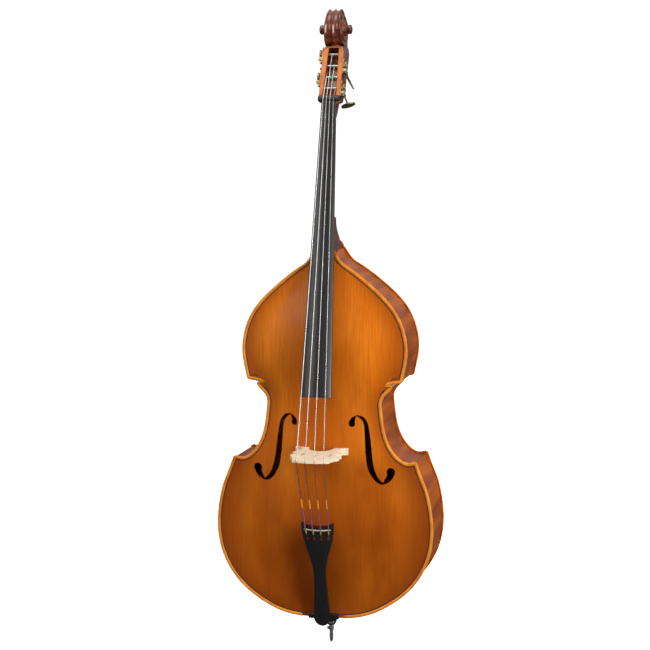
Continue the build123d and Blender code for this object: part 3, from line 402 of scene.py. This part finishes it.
# ---------------------------------------------------------------- raised edge of the plates
def rim_chains(node, facing):
    """The plate's outer edge as chains of points: between the side face and the face outside."""
    work = bmesh.new()
    work.from_mesh(nodes[node].data)
    bmesh.ops.remove_doubles(work, verts=work.verts, dist=0.00002)
    links = {}
    for edge in work.edges:
        if len(edge.link_faces) != 2:
            continue
        ys = sorted(f.normal.y * facing for f in edge.link_faces)
        if ys[1] > 0.6 and ys[0] < 0.35:
            a, b = (v.index for v in edge.verts)
            links.setdefault(a, []).append(b)
            links.setdefault(b, []).append(a)
    work.verts.ensure_lookup_table()
    places = {i: work.verts[i].co.copy() for i in links}
    work.free()
    chains, seen = [], set()
    ends = [i for i in links if len(links[i]) == 1] + list(links)
    for start in ends:
        if start in seen:
            continue
        chain = [start]
        seen.add(start)
        while True:
            step = next((n for n in links[chain[-1]] if n not in seen), None)
            if step is None:
                break
            seen.add(step)
            chain.append(step)
        chains.append([places[i] for i in chain])
    return chains


def outer_rims(node, facing, clear):
    """The plate's own outline: the clear runs that reach furthest to the sides."""
    runs = [run for chain in rim_chains(node, facing) for run in split_runs(chain, clear)]
    reach = [max(abs(p.x) for p in run) for run in runs]
    runs = [run for run, far in zip(runs, reach) if far > max(reach) - 0.002]
    for run in runs:
        if (run[0] - run[-1]).length < 0.03:
            run.append(run[0])
    return runs


def split_runs(chain, keep):
    """The runs of a closed chain where keep is true, without the very short ones."""
    start = next((i for i, p in enumerate(chain) if not keep(p)), 0)
    chain = chain[start:] + chain[:start]
    runs, run = [], []
    for p in chain:
        if keep(p):
            run.append(p)
        elif run:
            runs.append(run)
            run = []
    if run:
        runs.append(run)
    return [r for r in runs if len(r) > 3]


# edge section: run inwards from the side, height over the plate's edge, in metres
BEAD = (
    (0.0006, -0.0052), (-0.0009, -0.0046), (-0.0014, -0.0028), (-0.0013, -0.0008), (-0.0004, 0.0009),
    (0.0014, 0.0019), (0.0036, 0.0023), (0.0058, 0.0019), (0.0076, 0.0008), (0.0086, -0.0004),
    (0.0070, -0.0012), (0.0030, -0.0010),
)


PLATE_MIDDLE_X, PLATE_MIDDLE_Z = 0.0, 0.62
CORNER_REACH = 60  # points each side of a point that can limit its room
LEAST_WIDTH = 0.3  # share of the bead's width kept at the tightest corner


def room_inside(flat, i, inward, widest):
    """How far inwards a point may be offset before it meets the outline's other side."""
    room = widest
    for other in flat[max(i - CORNER_REACH, 0):i + CORNER_REACH + 1]:
        away = other - flat[i]
        depth = away.dot(inward)
        if depth > 1e-5:
            room = min(room, away.length_squared / (2 * depth))
    return room


def bead(name, run, facing):
    """A rounded strip along the plate's edge, narrower where a corner leaves less room."""
    count = len(run)
    rings = []
    flat = [Vector((p.x, p.z)) for p in run]
    for i, p in enumerate(run):
        before = flat[i] - flat[max(i - 1, 0)]
        after = flat[min(i + 1, count - 1)] - flat[i]
        before = before if before.length > 1e-7 else after
        after = after if after.length > 1e-7 else before
        n0 = Vector((-before.y, before.x)).normalized()
        n1 = Vector((-after.y, after.x)).normalized()
        inward = (n0 + n1).normalized()
        stretch = min(1 / max(inward.dot(n1), 0.45), 2.0)
        rings.append((p, inward * stretch))
    turn = sum(
        (n.x * (PLATE_MIDDLE_X - p.x) + n.y * (PLATE_MIDDLE_Z - p.z)) for p, n in rings
    )
    sign = 1 if turn > 0 else -1
    widest = max(s for s, h in BEAD)
    made = []
    for i, (p, n) in enumerate(rings):
        room = room_inside(flat, i, n.normalized() * sign, widest)
        n = n * sign * max(room / widest, LEAST_WIDTH)
        made.append([Vector((p.x + n.x * s, p.y + facing * h, p.z + n.y * s)) for s, h in BEAD])
    verts, faces = skin(made)
    return solid(name, verts, faces, "bead")


def dedupe(run, least=0.0012):
    kept = [run[0]]
    for p in run[1:-1]:
        if (p - kept[-1]).length > least:
            kept.append(p)
    return kept + [run[-1]]


# the top's edge stops beside the saddle and beside the heel
SADDLE_TOP, SADDLE_HALF = 0.13, 0.0465
HEEL_BOTTOM, HEEL_HALF = 1.17, 0.034


def clear_of_neighbours(p):
    beside_saddle = p.z < SADDLE_TOP and abs(p.x) < SADDLE_HALF
    beside_heel = p.z > HEEL_BOTTOM and abs(p.x) < HEEL_HALF
    return not (beside_saddle or beside_heel)


for node, facing, tag, slot in (
    ("top_plate", -1, "top_edge", "top_varnish"), ("back_plate", 1, "back_edge", "maple_varnish"),
):
    runs = outer_rims(node, facing, clear_of_neighbours if facing < 0 else lambda p: True)
    for k, run in enumerate(runs):
        bead(f"{tag}_{k + 1}", dedupe(run), facing)


# ---------------------------------------------------------------- scroll
# the eye's centre, the height where the carving takes over from CAD, and the joined skin's grain
EYE_Y, EYE_Z = 0.060, 1.856
THROAT = 1.8045
CARVING_VOXEL = 0.0013
# angle about the eye in degrees, radius and half width in metres
SPIRAL = (
    (-76, 0.1120, 0.0300), (-68, 0.0975, 0.0295), (-60, 0.0880, 0.0282), (-47, 0.0762, 0.0258),
    (-30, 0.0678, 0.0235), (-10, 0.0636, 0.0215), (45, 0.0632, 0.0195), (110, 0.0600, 0.0190),
    (180, 0.0560, 0.0258), (260, 0.0510, 0.0300), (335, 0.0470, 0.0290), (430, 0.0435, 0.0262),
    (520, 0.0400, 0.0285), (610, 0.0362, 0.0310), (695, 0.0325, 0.0315), (790, 0.0285, 0.0318),
    (880, 0.0245, 0.0330), (960, 0.0200, 0.0345), (1030, 0.0160, 0.0358),
)


def along_spiral(angle):
    """Radius and half width, smoothly between the stations."""
    for (a0, r0, w0), (a1, r1, w1) in zip(SPIRAL, SPIRAL[1:]):
        if angle <= a1:
            t = (angle - a0) / (a1 - a0)
            return r0 + (r1 - r0) * t, w0 + (w1 - w0) * t
    return SPIRAL[-1][1], SPIRAL[-1][2]


def scroll_ring(angle):
    """Section of one turn: two flutes with a ridge between, chamfered edges, hollowed sides."""
    radius, half = along_spiral(angle)
    inner = along_spiral(min(angle + 360, SPIRAL[-1][0]))[0]
    deep = 0.0056 * min(1.0, max(0.15, (700 - angle) / 400))
    side = [(0.0, radius - 0.0002)]
    for k in range(1, 8):
        u = k / 8
        side.append((u * (half - 0.0025), radius - deep * math.sin(math.pi * u) ** 0.8))
    side += [(half - 0.0023, radius), (half - 0.0008, radius - 0.0006), (half, radius - 0.0022)]
    band = radius - 0.0022 - inner
    for k in range(1, 6):
        u = k / 5
        side.append((half - 0.0034 * math.sin(math.pi * min(u * 0.62, 1)), radius - 0.0022 - band * u))
    side.append((half - 0.006, max(inner - 0.004, 0.003)))
    ring = [(-x, r) for x, r in reversed(side[1:])] + side
    c, s = math.cos(math.radians(angle)), math.sin(math.radians(angle))
    return [Vector((x, EYE_Y + r * c, EYE_Z + r * s)) for x, r in ring]


def eye_rings():
    """The boss through the eye, domed at both ends."""
    profile = [(-0.0500, 0.002), (-0.0496, 0.007), (-0.0480, 0.0118), (-0.0455, 0.0143), (-0.041, 0.0142),
               (-0.037, 0.0130)]
    profile += [(-x, r) for x, r in reversed(profile)]
    return [
        [Vector((x, EYE_Y + r * math.cos(t * math.pi / 24), EYE_Z + r * math.sin(t * math.pi / 24)))
         for t in range(48)]
        for x, r in profile
    ]


def root_rings():
    """The wood between the top of the pegbox and the underside of the scroll."""
    low, high, middle_y = THROAT - 0.012, THROAT + 0.024, 0.076
    return [
        [Vector((0.022 * math.cos(t * math.pi / 16), middle_y + 0.030 * math.sin(t * math.pi / 16),
                 low + (high - low) * k / 6)) for t in range(32)]
        for k in range(7)
    ]


def joined(name, parts, voxel, look):
    """One closed skin round several overlapping solids."""
    verts, faces = [], []
    for more_verts, more_faces in parts:
        base = len(verts)
        verts += more_verts
        faces += [tuple(i + base for i in face) for face in more_faces]
    obj = solid(name, verts, faces, look)
    remesh = obj.modifiers.new("remesh", "REMESH")
    remesh.mode = "VOXEL"
    remesh.voxel_size = voxel
    remesh.use_smooth_shade = True
    relax = obj.modifiers.new("relax", "SMOOTH")
    relax.factor = 0.5
    relax.iterations = 3
    depsgraph = bpy.context.evaluated_depsgraph_get()
    obj.modifiers.update()
    bpy.context.view_layer.update()
    final = bpy.data.meshes.new_from_object(obj.evaluated_get(depsgraph))
    obj.modifiers.clear()
    obj.data = final
    final.materials.clear()
    final.materials.append(looks[look])
    return obj


def cad_shape_below(node, height):
    """A CAD node's mesh up to a height, closed there."""
    work = bmesh.new()
    work.from_mesh(nodes[node].data)
    bmesh.ops.remove_doubles(work, verts=work.verts, dist=0.00001)
    cut = bmesh.ops.bisect_plane(
        work, geom=work.verts[:] + work.edges[:] + work.faces[:],
        plane_co=(0, 0, height), plane_no=(0, 0, 1), clear_outer=True,
    )
    rim = [g for g in cut["geom_cut"] if isinstance(g, bmesh.types.BMEdge)]
    bmesh.ops.holes_fill(work, edges=rim)
    work.verts.index_update()
    shape = [v.co.copy() for v in work.verts], [tuple(v.index for v in f.verts) for f in work.faces]
    work.free()
    return shape


turns = [scroll_ring(a) for a in range(SPIRAL[0][0], SPIRAL[-1][0] + 1, 4)]
carved = joined(
    "neck_carved",
    [cad_shape_below("neck", THROAT), skin(turns), skin(eye_rings()), skin(root_rings())],
    CARVING_VOXEL, "scroll",
)
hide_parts("neck")


# ---------------------------------------------------------------- silk windings on the strings
# heights between which a string's only points are those of its hole, fret and bridge bends
BEND_SPANS = ((0.355, 0.366), (0.384, 0.45), (0.59, 0.6075))


def string_point(letter, low, high):
    """The string's centre where its mesh has points between two heights."""
    found = [v.co for v in nodes[f"string_{letter}"].data.vertices if low < v.co.z < high]
    return sum(found, Vector()) / len(found)


def string_bends(letter):
    """The string at its hole, over the fret and over the bridge."""
    return [string_point(letter, *span) for span in BEND_SPANS]


def wrap(name, start, end, radius, look):
    """A thread winding round a straight run of string, thinner at both ends."""
    stations = 30
    along = (end - start).normalized()
    side = along.cross(Vector((0, 1, 0))).normalized()
    other = along.cross(side)
    rings = []
    for i in range(stations + 1):
        u = i / stations
        near_end = min(u, 1 - u) * stations
        r = radius * (0.7 + 0.3 * min(near_end / 1.5, 1.0)) + 0.00005 * (i % 2)
        middle = start.lerp(end, u)
        rings.append([
            middle + (side * math.cos(k * math.pi / 8) + other * math.sin(k * math.pi / 8)) * r
            for k in range(16)
        ])
    verts, faces = skin(rings)
    return solid(name, verts, faces, look)


RADII = {"e": 0.00150, "a": 0.00125, "d": 0.00105, "g": 0.00090}
SILKS = (
    # name, first bend, share of the run to the next bend, look
    ("silk_low", 0, 0.25, 0.96, "gold_silk"),
    ("silk_middle", 1, 0.015, 0.325, "purple_silk"),
    ("silk_upper", 1, 0.33, 0.46, "gold_silk"),
)
for letter in STRINGS:
    bends = string_bends(letter)
    for name, first, start, end, look in SILKS:
        low, high = bends[first], bends[first + 1]
        thread = 0.00075 if first else 0.0003
        wrap(f"{name}_{letter}", low.lerp(high, start), low.lerp(high, end), RADII[letter] + thread, look)


def post_silk():
    """Green thread wound round the third post, turning with it."""
    gear_low, gear_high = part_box("gear_3")
    axis_y = (gear_low.y + gear_high.y) / 2
    axis_z = (gear_low.z + gear_high.z) / 2
    turns_made, pitch, reach, thick = 5, 0.0017, 0.0056, 0.00085
    rings = []
    steps = turns_made * 24
    for i in range(steps + 1):
        a = i * math.pi / 12
        x = -0.0028 + pitch * i / 24
        out = Vector((0, math.cos(a), math.sin(a)))
        middle = Vector((x, axis_y, axis_z)) + out * reach
        rings.append([
            middle + out * thick * math.cos(t) + Vector((thick * math.sin(t), 0, 0))
            for t in (k * math.pi / 4 for k in range(8))
        ])
    verts, faces = skin(rings)
    solid("silk_post_3", verts, faces, "green_silk", body="post_3_turning")


post_silk()


# ---------------------------------------------------------------- stage, light and camera
def cyclorama():
    """A round pale floor that sweeps up into a wall all round."""
    reach, sweep, top, around = 7.0, 2.0, 14.0, 96
    profile = [(reach * k / 6, 0.0) for k in range(1, 7)]
    for k in range(1, 17):
        t = k / 16 * math.pi / 2
        profile.append((reach + sweep * math.sin(t), sweep - sweep * math.cos(t)))
    profile.append((reach + sweep, top))
    verts = [(0, 0, 0)]
    for r, z in profile:
        verts += [
            (r * math.cos(2 * math.pi * k / around), r * math.sin(2 * math.pi * k / around), z)
            for k in range(around)
        ]
    faces = [(0, 1 + k, 1 + (k + 1) % around) for k in range(around)]
    for row in range(len(profile) - 1):
        base = 1 + row * around
        for k in range(around):
            m = (k + 1) % around
            faces.append((base + k, base + around + k, base + around + m, base + m))
    mesh = bpy.data.meshes.new("stage_floor")
    mesh.from_pydata(verts, [], faces)
    for poly in mesh.polygons:
        poly.use_smooth = True
    obj = bpy.data.objects.new("stage_floor", mesh)
    scene.collection.objects.link(obj)
    mesh.materials.append(still("stage_white", (0.93, 0.93, 0.93), 0.9))
    obj.visible_glossy = False
    obj.visible_diffuse = False
    obj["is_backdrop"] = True
    return obj


cyclorama()


def area(name, place, aim, size, power, tint=(1, 1, 1)):
    data = bpy.data.lights.new(name, "AREA")
    data.shape = "RECTANGLE"
    data.size, data.size_y = size
    data.energy = power
    data.color = tint
    lamp = bpy.data.objects.new(name, data)
    scene.collection.objects.link(lamp)
    lamp.location = place
    lamp.rotation_euler = (Vector(aim) - Vector(place)).to_track_quat("-Z", "Y").to_euler()
    return lamp


area("key_left", (-2.6, -3.4, 2.6), (0, 0, 0.9), (1.4, 2.2), 64, (1, 0.98, 0.95))
area("fill_right", (3.1, -2.3, 1.4), (0, 0, 1.0), (0.9, 3.0), 128)
area("top", (0, -0.6, 3.9), (0, 0, 1.0), (2.4, 1.4), 34)

world = bpy.data.worlds.new("studio")
world.use_nodes = True
sky = world.node_tree
direction = sky.nodes.new("ShaderNodeTexCoord").outputs["Generated"]
height = sky.nodes.new("ShaderNodeSeparateXYZ")
sky.links.new(direction, height.inputs["Vector"])
glow = sky.nodes.new("ShaderNodeMapRange")
for key, value in (("From Min", -0.1), ("From Max", 0.9), ("To Min", 0.09), ("To Max", 0.7)):
    glow.inputs[key].default_value = value
sky.links.new(height.outputs[2], glow.inputs["Value"])
sky.links.new(glow.outputs["Result"], sky.nodes["Background"].inputs["Color"])
scene.world = world
scene.view_settings.view_transform = "Standard"

camera_data = bpy.data.cameras.new("camera")
camera_data.lens = 92.1
camera_data.sensor_width = 36
camera = bpy.data.objects.new("camera", camera_data)
scene.collection.objects.link(camera)
camera.location = (1.071, -4.862, 1.455)
camera.rotation_euler = (math.radians(90 - 5.52), 0, math.radians(12.65))
scene.camera = camera

low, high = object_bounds()
